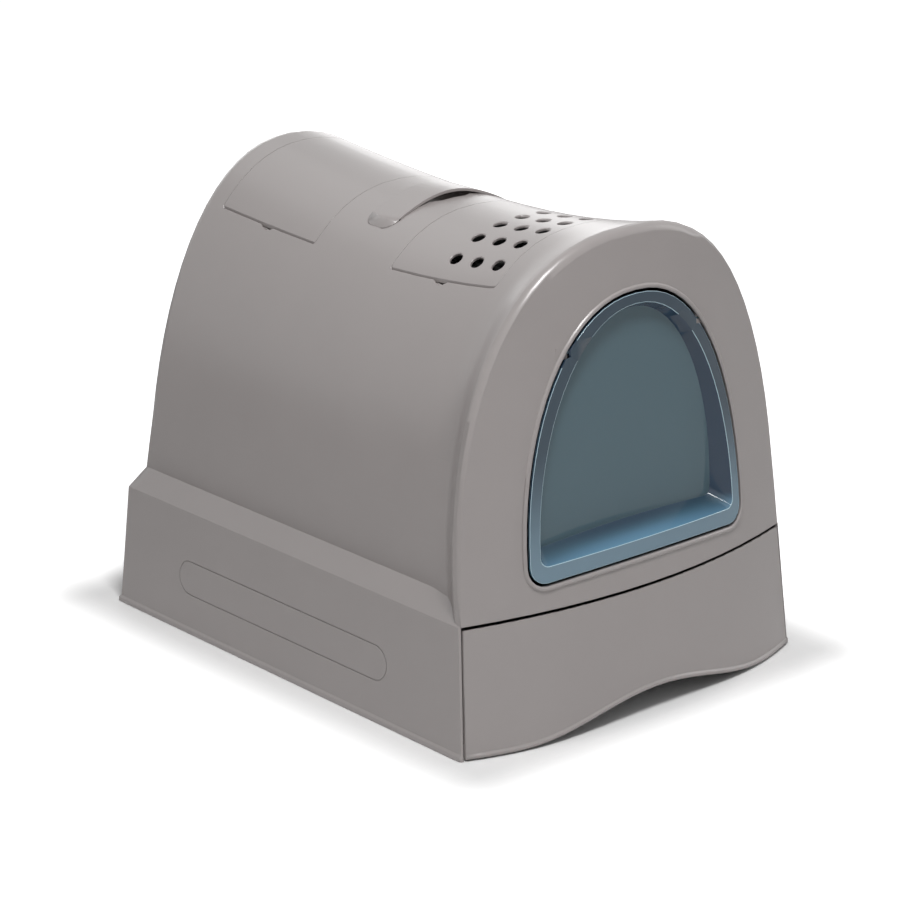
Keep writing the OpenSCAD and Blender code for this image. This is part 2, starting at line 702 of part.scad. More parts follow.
// Guide rails: a ledge under the tray and a fence beside it
module rail() {
    translate([0, side_len / 2 - 19, pan_top])
    rotate([90, 0, 0])
    linear_extrude(side_len - 50)
    polygon([[rail_x0, 0], [rail_x1, 0], [rail_x1, 14], [rail_x1 - 2.5, 14], [rail_x1 - 2.5, 2.7],
        [rail_x0, 2.7]]);
}
module left_rail() {
    color("gray")
    mirror([1, 0, 0])
    rail_cut();
}
module right_rail() {
    color("gray")
    rail_cut();
}
module rail_cut() {
    difference() {
        rail();
        for (y = foot_ys)
            translate([foot_x, y, 0])
            cylinder(h = 20, r = 3.1);
    }
}

// Litter tray: rings up the outside, over the rim and down the inside
tray_low = pan_top + 2.7 + seat;
front_set = panel_t + seat;
function tray_ring(in, z, back) = let (
        hw = foot_w / 2 - in,
        rf = 16,
        rr = 40,
        yr = side_len / 2 - 9 - 0.9 * in,
        yf = front_y(hw - rf, z) + front_set + back)
    concat(
        [for (j = [0 : 10]) let (x = (hw - rf) * (j / 5 - 1)) [x, front_y(x, z) + front_set + back, z]],
        [for (j = [1 : 3]) [hw - rf + rf * sin(30 * j), yf + rf - rf * cos(30 * j), z]],
        [for (j = [0 : 5]) [hw - rr + rr * cos(18 * j), yr - rr + rr * sin(18 * j), z]],
        [for (j = [0 : 5]) [rr - hw - rr * sin(18 * j), yr - rr + rr * cos(18 * j), z]],
        [for (j = [0 : 2]) [rf - hw - rf * cos(30 * j), yf + rf - rf * sin(30 * j), z]]);
module litter_tray() {
    color("lightgray")
    loft([tray_ring(42, tray_low, 30), tray_ring(39, tray_low + 1.6, 27), tray_ring(31, 50, 4),
        tray_ring(23, tray_top - 5, 0), tray_ring(16, tray_top - 3.4, 0.1), tray_ring(16.6, tray_top, 0.2),
        tray_ring(23 + tray_t, tray_top, tray_t), tray_ring(31 + tray_t, 50, 4 + tray_t),
        tray_ring(40 + tray_t, tray_low + tray_t, 28 + tray_t)],
        [0, 0, tray_low], [0, 0, tray_low + tray_t]);
}

// Drawer front: a curved panel with a finger arch and a rolled lower edge
panel_cells = 26;
panel_low = 1.2;
function panel_x(u, z) = u * (side_lean(z) - drawer_gap);
module drawer_front() {
    z1 = seam_h - drawer_gap;
    us = [for (j = [0 : panel_cells]) 2 * j / panel_cells - 1];
    color("silver") {
        loft([for (u = us) let (a = panel_x(u, 0), b = panel_x(u, z1), z0 = panel_low + wave(a))
            [[b, front_y(b, z1), z1], [a, front_y(a, z0), z0],
                [a, front_y(a, z0) + panel_t, z0], [b, front_y(b, z1) + panel_t, z1]]],
            [panel_x(-1, 60), front_y(panel_x(1, 60), 60) + panel_t / 2, 60],
            [panel_x(1, 60), front_y(panel_x(1, 60), 60) + panel_t / 2, 60]);
        loft([for (u = us) let (a = panel_x(u, 0) * 0.997, z = panel_low + wave(a) + 2.2, y = front_y(a, z))
            [for (q = [0 : 7]) [a, y + 0.4 - 2.4 * cos(45 * q), z - 2.4 * sin(45 * q)]]],
            [panel_x(-1, 0) * 0.997, front_y(panel_x(1, 0), 4) + 0.4, panel_low + 2.2],
            [panel_x(1, 0) * 0.997, front_y(panel_x(1, 0), 4) + 0.4, panel_low + 2.2]);
    }
}

// Swing door: rim, dish and flat pane in one skin, hung on two pins
pane_y = front_y(0, dish_top) + dish_depth;
function pane(off) = outline(dish_w - 2 * dish_draft, dish_low + 9, dish_top - 5, 7, dish_bow, off, 2.1, 1.92);
function on_face(pts, back) = [for (q = pts) [q[0], front_y(q[0], q[1]) - door_out + back, q[1]]];
function on_pane(pts, back) = [for (q = pts) [q[0], pane_y + back, q[1]]];
module swing_door() {
    z = (dish_low + dish_top) / 2;
    color("lightslategray")
    difference() {
        union() {
            difference() {
                loft([on_pane(pane(0.6), door_t), on_face(dish(1.4), door_t), on_face(doorway(-door_gap), door_t),
                    on_face(doorway(-door_gap), 0), on_face(dish(0), 0), on_pane(pane(0), 0)],
                    [0, pane_y + door_t, z], [0, pane_y, z]);
                for (side = [0, 1])
                    mirror([side, 0, 0])
                    across(shoulder_x, shoulder_x + 16.4, axis_y, pivot_h, sweep_r);
            }
            for (side = [0, 1])
                mirror([side, 0, 0]) {
                    across(pin_in, shoulder_x, axis_y, pivot_h, 3.5);
                    across(pin_in + 4, pin_out, axis_y, pivot_h, pin_r);
                }
        }
    }
}

// Lids
hole_xs = [for (j = [0 : 6]) 17 - lid_x + j * hole_pitch_x];
hole_ys = [for (j = [0 : 2]) front_y0 + 17.5 + j * hole_pitch_y];
module lid(i, y0, y1) {
    intersection() {
        slab(i[0], i[1], 0, lid_t);
        plan(-lid_x, lid_x - 1.6, y0, y1, lid_r);
    }
    hinge_rod(y0, y1, y0 + seat, y1 - seat, hinge_bead_d / 2);
}
module pin_hole(y0, y1) {
    hinge_rod(y0, y1, y0 - 4, y1 + 4, hinge_pin_d / 2 + hinge_play);
}
module front_lid() {
    color("silver")
    difference() {
        lid(front_i, front_y0, front_y1);
        pin_hole(front_y0, front_y1);
        for (x = hole_xs, y = hole_ys)
            translate([x, y, top_z(x, y)])
            rotate([0, top_tilt(x, y), 0]) {
                translate([0, 0, -8])
                cylinder(h = 12, r = hole_d / 2);
                translate([0, 0, -1.2])
                cylinder(h = 3, r1 = hole_d / 2, r2 = hole_d / 2 + 3.75);
            }
    }
}
module rear_lid() {
    color("silver")
    difference() {
        lid(rear_i, rear_y0, rear_y1);
        pin_hole(rear_y0, rear_y1);
    }
}
module front_lid_pin() {
    color("gray")
    hinge_rod(front_y0, front_y1, front_y0 - 5.6, front_y1 + 5.6, hinge_pin_d / 2);
}
module rear_lid_pin() {
    color("gray")
    hinge_rod(rear_y0, rear_y1, rear_y0 - 5.6, rear_y1 + 5.6, hinge_pin_d / 2);
}

// Drop-in trays under the lids
filter_z = crest(0.3) - filter_drop + 3;
store_z = crest(0.78) - store_drop;
box_x0 = well_x0 + step_w + 0.5;
box_x1 = well_x1 - step_w - 0.5;
box_in = ledge_w + step_w + 0.5;
module well(i, y0, y1, floor_z) {
    difference() {
        union() {
            intersection() {
                slab(i[0], i[1], ledge_t + seat, ledge_t + seat + flange_t);
                plan(well_x0 + 0.4, well_x1 - 0.4, y0 + ledge_w + 0.4, y1 - ledge_w - 0.4, 3.6);
            }
            intersection() {
                slab(i[0], i[1], ledge_t + seat, 0, floor_z);
                plan(box_x0, box_x1, y0 + box_in, y1 - box_in, 5.5);
            }
        }
        translate([0, 0, floor_z + well_t])
        linear_extrude(200)
        rounded(box_x0 + well_t, box_x1 - well_t, y0 + box_in + well_t, y1 - box_in - well_t, 3.5);
    }
}
module filter_tray() {
    color("gray")
    difference() {
        well(front_i, front_y0, front_y1, filter_z);
        for (j = [0 : 7])
            translate([box_x0 + 14 + j * 20, front_y0 + box_in + 12, filter_z - 5])
            cube([7, front_lid_len - 2 * box_in - 24, 10]);
    }
}
module filter_shape(gap) {
    rounded(box_x0 + well_t + gap, box_x1 - well_t - gap, front_y0 + box_in + well_t + gap,
        front_y1 - box_in - well_t - gap, 3);
}
module carbon_filter() {
    color("black")
    translate([0, 0, filter_z + well_t + seat])
    linear_extrude(filter_t)
    filter_shape(1);
}
module filter_grille() {
    color("gray")
    translate([0, 0, filter_z + well_t + 2 * seat + filter_t])
    difference() {
        linear_extrude(1.8)
        filter_shape(0.6);
        for (j = [0 : 9])
            translate([box_x0 + 10 + j * 16.4, front_y0 + box_in + 10, -1])
            cube([9, front_lid_len - 2 * box_in - 20, 4]);
    }
}
module storage_well() {
    color("gray")
    well(rear_i, rear_y0, rear_y1, store_z);
}

// Scoop, lying in the storage well
module litter_scoop() {
    y = (rear_y0 + rear_y1) / 2;
    z = store_z + well_t + seat;
    color("dimgray")
    translate([0, y, z])
    difference() {
        union() {
            linear_extrude(30)
            rounded(-82, 8, -44, 44, 10);
            translate([0, 0, 12])
            linear_extrude(10)
            rounded(0, 78, -11, 11, 10);
        }
        translate([0, 0, 2])
        linear_extrude(40)
        rounded(-90, 6, -42, 42, 8);
        for (j = [0 : 6])
            translate([-72, j * 11 - 35.5, -1])
            cube([66, 5, 4]);
        translate([66, 0, 0])
        cylinder(h = 40, r = 4);
    }
}

// Carry handle and its clips under the hood
module carry_handle() {
    color("silver")
    union() {
        intersection() {
            strap(-handle_len / 2, handle_len / 2, 0, 0);
            strap_plan(0);
        }
        for (x = [-stud_x, stud_x])
            translate([x, handle_y, boss_z - 4])
            cylinder(h = 4 + 11.4, r = stud_r);
    }
}
module handle_clips() {
    color("gray")
    for (x = [-stud_x, stud_x])
        translate([x, handle_y, boss_z - 2.4])
        difference() {
            cylinder(h = 2.2, r = 6.5);
            translate([0, 0, -1])
            cylinder(h = 5, r = stud_r + 0.05);
        }
}

hood();
base_pan();
base_screws();
rubber_feet();
left_rail();
right_rail();
litter_tray();
drawer_front();
swing_door();
front_lid();
rear_lid();
front_lid_pin();
rear_lid_pin();
filter_tray();
carbon_filter();
filter_grille();
storage_well();
litter_scoop();
carry_handle();
handle_clips();
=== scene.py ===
# %% [markdown]
# # A hooded litter box
# This lesson dresses a packed CAD model of a hooded litter box: a warm grey plastic hood with a
# smoked swing door, a drawer front with a wavy lower edge, two lids on top and a carry handle.
# The CAD model is loaded as a fixed frame. Nothing in it is moved: each step gives a piece a
# smoother skin or a finish, and at the end the camera looks at it from the photograph's place.

# %% Load the frame
import bpy
import bmesh
import math
import numpy as np
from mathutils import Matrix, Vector


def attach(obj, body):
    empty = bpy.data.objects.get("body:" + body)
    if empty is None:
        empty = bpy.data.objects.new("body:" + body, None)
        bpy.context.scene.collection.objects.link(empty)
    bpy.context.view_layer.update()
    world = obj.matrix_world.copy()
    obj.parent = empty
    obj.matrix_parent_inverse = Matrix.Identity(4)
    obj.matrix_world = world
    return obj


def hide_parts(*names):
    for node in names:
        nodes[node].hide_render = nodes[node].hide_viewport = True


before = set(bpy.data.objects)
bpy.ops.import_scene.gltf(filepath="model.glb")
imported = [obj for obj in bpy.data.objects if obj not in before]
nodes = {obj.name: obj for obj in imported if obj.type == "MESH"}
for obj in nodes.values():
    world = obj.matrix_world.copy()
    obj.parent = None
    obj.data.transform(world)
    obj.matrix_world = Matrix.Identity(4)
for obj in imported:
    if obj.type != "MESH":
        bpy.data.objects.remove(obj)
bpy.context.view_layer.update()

# %% [markdown]
# ## Camera
# The photograph was taken from in front and to the left, a little above the crest, with a long
# lens. Parallel edges hardly converge, so the camera stands about three metres away. Its place
# was found by matching measured corners of the box, and is written here as plain numbers.

# %% Camera
camera = bpy.data.objects.new("camera", bpy.data.cameras.new("camera"))
bpy.context.scene.collection.objects.link(camera)
camera.location = (-1.7819, -2.0349, 1.0978)
camera.rotation_euler = (math.radians(90 - 18.987), 0, math.radians(-41.236))
camera.data.sensor_width = 36
camera.data.lens = 3144.9 / 900 * 36
camera.data.clip_end = 50
bpy.context.scene.camera = camera
bpy.context.scene.view_settings.view_transform = "Standard"
print("lens", round(camera.data.lens, 1), "mm, distance", round(camera.location.length, 2), "m")

# %% [markdown]
# ## Floor
# The box stands on a white paper sweep, which is just a large flat sheet here. It lies a fraction
# of a millimetre under the rubber feet, so that the two never share a plane and flicker.

# %% Floor sheet
def link(name, mesh):
    piece = bpy.data.objects.new(name, mesh)
    bpy.context.scene.collection.objects.link(piece)
    return piece

shape = bmesh.new()
bmesh.ops.create_grid(shape, x_segments=1, y_segments=1, size=20)
bmesh.ops.translate(shape, vec=(0, 0, -0.0004), verts=shape.verts)
floor_mesh = bpy.data.meshes.new("floor")
shape.to_mesh(floor_mesh)
shape.free()
floor = link("floor", floor_mesh)
print("floor corners", len(floor_mesh.vertices))

# %% [markdown]
# ## The hood's own surfaces, as formulas
# The CAD hood is faceted: its arch is a row of flat strips. A strip looks flat only because each
# of its corners carries the strip's own direction. The real surface is a smooth arch between two
# bowed faces, so its direction is known at every point. More facets would also smooth it, but a
# formula is exact and costs nothing. First come the two bowed end faces.

# %% End faces
HALF_LEN, SEAM, TOP = 0.245, 0.115, 0.425      # half the length, height of the seam, crest
HALF_SEAM = 0.192                              # half the width at the seam
BOW, FOOT_FILL = 0.0295, 0.012                 # how far the faces bow, and their fuller foot
LEAN_LOW, LEAN_HIGH, LEAN_REAR = 0.013, 0.030, 0.0425

def swell(x):
    return BOW * (1 - (x / HALF_SEAM) ** 2)

def fill(x, z):
    q = (x / HALF_SEAM) ** 2
    return FOOT_FILL * q * np.maximum(1 - q, 0) * (1 - np.minimum(z / SEAM, 1))

def front_of(x, z):
    above = np.maximum(z - SEAM, 0) / (TOP - SEAM)
    lean = LEAN_LOW * np.minimum(z / SEAM, 1) + LEAN_HIGH * above
    return -HALF_LEN + lean - swell(x) - fill(x, z)

def rear_of(x, z):
    return HALF_LEN - LEAN_REAR * z / TOP + swell(x)

print("front foot at", round(float(front_of(0, 0)), 4), "m")
print("rear foot at", round(float(rear_of(0, 0)), 4), "m")

# %% [markdown]
# ## The arch between them
# Across, the arch is a rounded curve between a circle and a box. Along the hood it sinks to a
# saddle in the middle and flares out at the front. The function is zero on that surface, so its
# slope in space, found from small steps, is the direction the skin faces.

# %% Arch and directions
FLARE_REACH = 0.0305                      # how far back from the front the flare reaches
ARCH_HALF, FLARE_OUT = 0.168, 0.0232      # half width, and what the flare adds
ARCH_FOOT, FLARE_DOWN = 0.128, 0.0122     # height of its foot, and what the flare takes off
SADDLE, SADDLE_SHIFT = 0.0198, 0.0055     # how deep the crest sinks, more so to the front

def arch_level(x, y, z):
    """Zero on the arch, negative inside it."""
    s = (y - front_of(x, z)) / (rear_of(x, z) - front_of(x, z))
    flare = np.exp(-(s * 2 * HALF_LEN / FLARE_REACH) ** 2)
    half = ARCH_HALF + FLARE_OUT * flare
    foot = ARCH_FOOT - FLARE_DOWN * flare
    crest = TOP - 4 * s * (1 - s) * (SADDLE + SADDLE_SHIFT * (1 - 2 * s))
    across, upward = 2.43 - 0.24 * s, 2.34 - 0.27 * s
    return np.abs(x / half) ** across + np.maximum((z - foot) / (crest - foot), 1e-6) ** upward - 1

def unit(rows):
    return rows / np.maximum(np.linalg.norm(rows, axis=1, keepdims=True), 1e-12)

def direction(level, points):
    """Unit slope of a level function, from small steps along each axis."""
    step = 2e-5
    parts = []
    for axis in range(3):
        shift = np.zeros(3)
        shift[axis] = step
        a, b = points + shift, points - shift
        parts.append(level(a[:, 0], a[:, 1], a[:, 2]) - level(b[:, 0], b[:, 1], b[:, 2]))
    return unit(np.stack(parts, 1))

crest_point = np.array([[0.0, 0.0, 0.405]])
print("direction at the crest", np.round(direction(arch_level, crest_point)[0], 3))

# %% [markdown]
# ## Every way the shell can face
# Between the arch and an end face runs a rounded rim. Its direction turns from one to the other
# over the rim's radius. The skirt below leans in a little. These are all the smooth surfaces.

# %% Directions of the shell
RIM_LOW_R, FRONT_RIM_R, REAR_RIM_R = 0.0025, 0.0082, 0.013    # radius at the foot, at the top
SKIRT_SLOPE = 6 / 109.5

def face_ways(points):
    return [direction(lambda a, b, c: front_of(a, c) - b, points)]

def shell_ways(points):
    x, y, z = points.T
    arch = direction(arch_level, points)
    front = face_ways(points)[0]
    rear = direction(lambda a, b, c: b - rear_of(a, c), points)
    ways = [arch, front, rear]
    climb = np.clip((z - SEAM) / 0.06, 0, 1)
    ends = ((front, y - front_of(x, z), FRONT_RIM_R), (rear, rear_of(x, z) - y, REAR_RIM_R))
    for face, gap, top_radius in ends:
        radius = RIM_LOW_R + (top_radius - RIM_LOW_R) * climb
        lean = np.clip(1 - gap / radius, 0, 1)[:, None]
        ways.append(unit(face * lean + arch * np.sqrt(1 - lean ** 2)))
    skirt = np.stack([np.sign(x), np.zeros_like(x), np.full_like(x, SKIRT_SLOPE)], 1)
    ways.append(unit(skirt))
    return ways

print("kinds of surface", len(shell_ways(crest_point)))

# %% [markdown]
# ## Merge a copy of a CAD piece
# A CAD piece arrives as loose triangles that it must keep. So a copy is merged, and the copy is
# what gets finished and shown. It rides on the same body and stands for the CAD piece.

# %% Merged copies
def merged(name):
    mesh = nodes[name].data.copy()
    mesh.name = name + "_skin"
    work = bmesh.new()
    work.from_mesh(mesh)
    bmesh.ops.remove_doubles(work, verts=work.verts, dist=2e-6)
    bmesh.ops.dissolve_degenerate(work, edges=work.edges, dist=1e-6)
    return mesh, work

def show(name, mesh, work, body, sharp):
    work.to_mesh(mesh)
    work.free()
    mesh.shade_smooth()
    mesh.set_sharp_from_angle(angle=math.radians(sharp))
    piece = link(name + "_skin", mesh)
    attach(piece, body)
    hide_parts(name)
    print(piece.name, "faces", len(mesh.polygons))
    return piece

# %% [markdown]
# ## Turn the corners to the known directions
# Every corner whose facet lies within a few degrees of a known surface takes that surface's
# direction instead of the facet's. Corners of holes, grooves and ledges fit none of them and
# keep the shading that the merge gave them.

# %% Corner directions
def turn_corners(mesh, ways, close=13):
    count = len(mesh.loops)
    corner = np.zeros((count, 3), np.float32)
    mesh.corner_normals.foreach_get("vector", corner.ravel())
    vert = np.zeros(count, np.int32)
    mesh.loops.foreach_get("vertex_index", vert)
    place = np.zeros((len(mesh.vertices), 3), np.float32)
    mesh.vertices.foreach_get("co", place.ravel())
    flat = np.zeros((len(mesh.polygons), 3), np.float32)
    mesh.polygons.foreach_get("normal", flat.ravel())
    sides = np.zeros(len(mesh.polygons), np.int32)
    mesh.polygons.foreach_get("loop_total", sides)
    facet = np.repeat(flat, sides, axis=0).astype(float)
    limit = math.cos(math.radians(close))
    best = np.full(count, limit)
    for way in ways(place[vert].astype(float)):
        fit = (way * facet).sum(1)
        better = fit > best
        corner[better] = way[better]
        best[better] = fit[better]
    mesh.normals_split_custom_set(corner.tolist())
    print(mesh.name, "corners", count, "turned", int((best > limit).sum()))

# %% [markdown]
# ## Hood, lids, drawer front, handle and tray
# These are injection mouldings with broad smooth surfaces. The hood, the lids and the drawer
# front lie on the surfaces above. The handle and the tray are small or inside, so plain smooth
# shading with sharp edges is enough. The seam above the drawer front is a dark open gap on the
# real box, so the panel's top edge is set a little lower. A painted line would not open with it.

# %% Smooth pieces
TOP_EDGE = 0.0025     # the height of the edge that is lowered
SEAM_GAP = 0.0014     # how far it goes down

def lower_top(work, drop):
    top = max(v.co.z for v in work.verts)
    edge = [v for v in work.verts if v.co.z > top - TOP_EDGE]
    bmesh.ops.translate(work, vec=(0, 0, -drop), verts=edge)

def smooth_piece(name, body, ways=None, sharp=32, drop=0.0):
    mesh, work = merged(name)
    if drop:
        lower_top(work, drop)
    piece = show(name, mesh, work, body, sharp)
    if ways:
        turn_corners(mesh, ways)
    return piece

hood = smooth_piece("hood", "housing", shell_ways)
front_lid = smooth_piece("front_lid", "front_flap", shell_ways)
rear_lid = smooth_piece("rear_lid", "rear_flap", shell_ways)
drawer_front = smooth_piece("drawer_front", "drawer", face_ways, drop=SEAM_GAP)
handle = smooth_piece("carry_handle", "housing")
tray = smooth_piece("litter_tray", "drawer")

# %% [markdown]
# ## Swing door
# The door is one clear moulding: a flat rim, a dish behind it and a pane. Its edges are rounded
# like those of a drinking glass, and they are what catches the light. A shader could fake that
# round, but a real one also shows from the side. The triangles are joined to four-sided facets
# first, because a bevel runs cleanly along those, and the pins are left out of it.

# %% Rounded door
PIVOT_Y, PIVOT_Z = -0.2328, 0.330
PIN_REACH, PIN_START = 0.0065, 0.058    # round the pivot's axis, and from this far out
EDGE_ROUND, EDGE_ANGLE = 0.0017, math.radians(28)
mesh, work = merged("swing_door")
bmesh.ops.join_triangles(work, faces=work.faces, angle_face_threshold=math.radians(12),
                         angle_shape_threshold=math.radians(60))
# One face number marks the rounded edges that get a painted highlight.
painted_highlight, pane, rim = (work.faces.layers.float.new(name) for name in ("painted_edge_highlight", "pane", "rim"))

def by_pin(point):
    near_axis = math.hypot(point.y - PIVOT_Y, point.z - PIVOT_Z) < PIN_REACH
    return near_axis and abs(point.x) > PIN_START

edges = [e for e in work.edges
         if len(e.link_faces) == 2 and e.calc_face_angle() > EDGE_ANGLE
         and not any(by_pin(v.co) for v in e.verts)]
made = bmesh.ops.bevel(work, geom=edges, affect="EDGES", offset=EDGE_ROUND, offset_type="OFFSET",
                       segments=3, profile=0.5, material=-1, clamp_overlap=True)
rounded = set(made["faces"])
print("rounded edges", len(edges), "new faces", len(rounded))

# %% [markdown]
# ## Which part of the door is which
# The rounded edges of the rim get a painted highlight, a light colour that stands in for light
# coming out of a clear sheet's edges. The pane keeps the smoke's own dark colour, and the walls of
# the dish get painted shade. The finish has to know these parts. They could be split into pieces,
# but the moulding is one. So each face carries three numbers instead, set from its place and
# direction, and the finish reads those.

# %% Parts of the door
PANE_Y = -0.2365      # behind this lies the pane, in front of it the rim
EDGE_DEPTH = 0.005    # the rim's edges lie within this of the front surface

# The rounded faces near the front get the painted highlight. The pane and rim numbers choose where
# painted shade and painted light go.
for face in work.faces:
    x, y, z = face.calc_center_median()
    face[painted_highlight] = 1.0 if face in rounded and y - front_of(x, z) < EDGE_DEPTH else 0.0
    face[pane] = 1.0 if y > PANE_Y and face.normal.y < -0.9 else 0.0
    face[rim] = 1.0 if y <= PANE_Y and face.normal.y < -0.6 else 0.0
print("lit edge faces", sum(face[painted_highlight] > 0 for face in work.faces))
door = show("swing_door", mesh, work, "door", 50)
smoother = door.modifiers.new("even_light", "WEIGHTED_NORMAL")
smoother.keep_sharp = True

# %% [markdown]
# ## A small helper for shader nodes
# Shader maths is easier to read as an expression than as a tree of boxes. The class below wraps a
# socket, so that plus, minus and times add Math nodes, and one function makes any other node.

# %% Shader helper
def feed(tree, socket, value):
    if isinstance(value, Wire):
        tree.links.new(value.socket, socket)
    else:
        socket.default_value = value

def add_node(tree, kind, settings=None, out=0, values=(), **named):
    made = tree.nodes.new("ShaderNode" + kind)
    for key, value in (settings or {}).items():
        setattr(made, key, value)
    for socket, value in zip(made.inputs, values):
        feed(tree, socket, value)
    for key, value in named.items():
        feed(tree, made.inputs[key.replace("_", " ")], value)
    return Wire(tree, made.outputs[out])

class Wire:
    def __init__(self, tree, socket):
        self.tree, self.socket = tree, socket
    def maths(self, operation, *values):
        return add_node(self.tree, "Math", {"operation": operation}, values=values)
    def __add__(self, other): return self.maths("ADD", self, other)
    def __radd__(self, other): return self.maths("ADD", other, self)
    def __sub__(self, other): return self.maths("SUBTRACT", self, other)
    def __rsub__(self, other): return self.maths("SUBTRACT", other, self)
    def __mul__(self, other): return self.maths("MULTIPLY", self, other)
    def __rmul__(self, other): return self.maths("MULTIPLY", other, self)

print("operators", [name for name in vars(Wire) if name.startswith("__r")])

# %% [markdown]
# ## A finish
# Each finish is one material with one Principled shader. It offers the place on the piece in
# metres, a blend of two colours, and a soft step from 0 to 1 between two values.

# %% Finish
class Finish:
    """A material with one Principled shader, and methods that add other nodes."""
    def __init__(self, name, color, roughness, **fixed):
        self.material = bpy.data.materials.new(name)
        self.material.use_nodes = True
        self.tree = self.material.node_tree
        self.shader = self.tree.nodes["Principled BSDF"]
        self.shader.inputs["Base Color"].default_value = (*color, 1)
        self.shader.inputs["Roughness"].default_value = roughness
        for key, value in fixed.items():
            self.shader.inputs[key.replace("_", " ")].default_value = value
        self.place = self.node("TexCoord", out="Object")
    def node(self, kind, settings=None, out=0, **named):
        return add_node(self.tree, kind, settings, out, **named)
    def blend(self, amount, first, second):
        made = self.node("Mix", {"data_type": "RGBA"}, out=2)
        for index, value in ((0, amount), (6, first), (7, second)):
            feed(self.tree, made.socket.node.inputs[index], value)
        return made
    def step(self, value, start, end):
        smooth = {"interpolation_type": "SMOOTHSTEP"}
        return self.node("MapRange", smooth, Value=value, From_Min=start, From_Max=end)
    def axes(self):
        return [self.node("SeparateXYZ", out=i, Vector=self.place) for i in range(3)]
    def to(self, socket, value):
        feed(self.tree, self.shader.inputs[socket], value)

def paint(piece, finish):
    piece.data.materials.clear()
    piece.data.materials.append(finish.material)

def solid(color):
    return (*color, 1)

# %% [markdown]
# ## Warm grey moulded plastic
# The hood is injection moulded in a warm grey with a fine satin texture. Up close its surface is a
# very fine spark-eroded grain, and over a hand's width its tone drifts by a few percent. Fine
# noise drives a weak bump, and coarse noise shifts colour and roughness a little. A rounding
# node softens the arrises, which on the real part are a few tenths of a millimetre round.

# %% Plastic finishes
def plastic(name, color, roughness=0.3, grain=0.08, arris=0.0006, drift=0.04):
    made = Finish(name, color, roughness, Specular_IOR_Level=0.85)
    broad = made.node("TexNoise", Vector=made.place, Scale=9.0, Detail=3.0, Roughness=0.55)
    fine = made.node("TexNoise", Vector=made.place, Scale=2600.0, Detail=2.0, Roughness=0.6)
    darker, lighter = ([c * (1 + shift) for c in color] for shift in (-drift, drift))
    made.to("Base Color", made.blend(broad, solid(darker), solid(lighter)))
    made.to("Roughness", broad * 0.08 + (roughness - 0.04))
    soft = made.node("Bevel", {"samples": 4}, Radius=arris)
    made.to("Normal", made.node("Bump", Strength=grain, Distance=0.00012, Height=fine, Normal=soft))
    return made

HOOD_GREY = (0.335, 0.306, 0.300)
shell_grey = plastic("warm_grey_shell", HOOD_GREY)
front_grey = plastic("warm_grey_front", HOOD_GREY)
lid_grey = plastic("warm_grey_lids", HOOD_GREY)
print("hood grey", HOOD_GREY)

# %% [markdown]
# ## Plastic of the inner pieces
# Pieces that are seen only when a lid or the drawer is open are moulded in darker greys, which
# hide dust and stains. They use the same recipe with other colours.

# %% Paint the plastic pieces
tray_grey = plastic("tray_grey", (0.20, 0.20, 0.20), 0.45)
pan_grey = plastic("pan_dark_grey", (0.06, 0.06, 0.062), 0.5)
inner_grey = plastic("inner_grey", (0.12, 0.12, 0.12), 0.5)
scoop_grey = plastic("scoop_grey", (0.09, 0.09, 0.095), 0.4)
painted = [(hood, shell_grey), (handle, shell_grey), (drawer_front, front_grey),
           (front_lid, lid_grey), (rear_lid, lid_grey), (tray, tray_grey)]
painted += [(nodes[name], pan_grey) for name in ("base_pan", "left_rail", "right_rail")]
painted += [(nodes[name], inner_grey) for name in ("filter_tray", "filter_grille", "storage_well")]
painted += [(nodes["litter_scoop"], scoop_grey)]
for piece, finish in painted:
    paint(piece, finish)
print("plastic pieces", len(painted))

# %% [markdown]
# ## Rubber, steel and carbon felt
# The feet are matt black rubber with fine pits. Screws, hinge pins and clips are drawn steel, so
# their roughness runs in streaks along them. The filter is black felt, a mat of tiny cells.

# %% Rubber, steel and felt
rubber = Finish("black_rubber", (0.02, 0.02, 0.02), 0.8)
pits = rubber.node("TexNoise", Vector=rubber.place, Scale=900.0, Detail=3.0)
rubber.to("Normal", rubber.node("Bump", Strength=0.4, Distance=0.0002, Height=pits))

steel = Finish("plain_steel", (0.6, 0.6, 0.6), 0.3, Metallic=1.0)
along = steel.node("Mapping", Vector=steel.place, Scale=(2000.0, 40.0, 2000.0))
streak = steel.node("TexNoise", Vector=along, Scale=1.0, Detail=2.0)
steel.to("Roughness", streak * 0.2 + 0.22)

felt = Finish("carbon_felt", (0.02, 0.02, 0.02), 0.95)
cell = felt.node("TexVoronoi", Vector=felt.place, Scale=420.0)
felt.to("Normal", felt.node("Bump", Strength=0.8, Distance=0.0006, Height=cell))

small = {"rubber_feet": rubber, "carbon_filter": felt, "base_screws": steel,
         "front_lid_pin": steel, "rear_lid_pin": steel, "handle_clips": steel}
for name, finish in small.items():
    paint(nodes[name], finish)
print("small pieces", len(small))

# %% [markdown]
# ## Smoked door
# The door is clear plastic with a blue-grey smoke in it. Seen square on it is nearly opaque, a dark
# slate. Real scattering inside a thin shell is slow and grainy to render, so its light and shade is
# painted into the colour by part, height and depth, under the gloss of clear plastic. The walls of
# the dish get painted shade. The rim gets painted light towards its foot and painted shade towards
# its top. The shelf under the pane gets a painted glow that is bluer to the front, where light
# falls into it from above, and painted shade at its back. The rounded edges get a painted
# highlight.

# %% Door finish
smoke = Finish("smoked_plastic", (0.1, 0.17, 0.2), 0.07, IOR=1.5, Transmission_Weight=0.2)
_, depth, height = smoke.axes()

def door_part(name):
    return smoke.node("Attribute", {"attribute_name": name}, out="Fac")

# The pane keeps the smoke's own colour. The walls of the dish get painted shade.
PANE, PAINTED_WALL_SHADE = (0.105, 0.175, 0.21), (0.04, 0.07, 0.115)
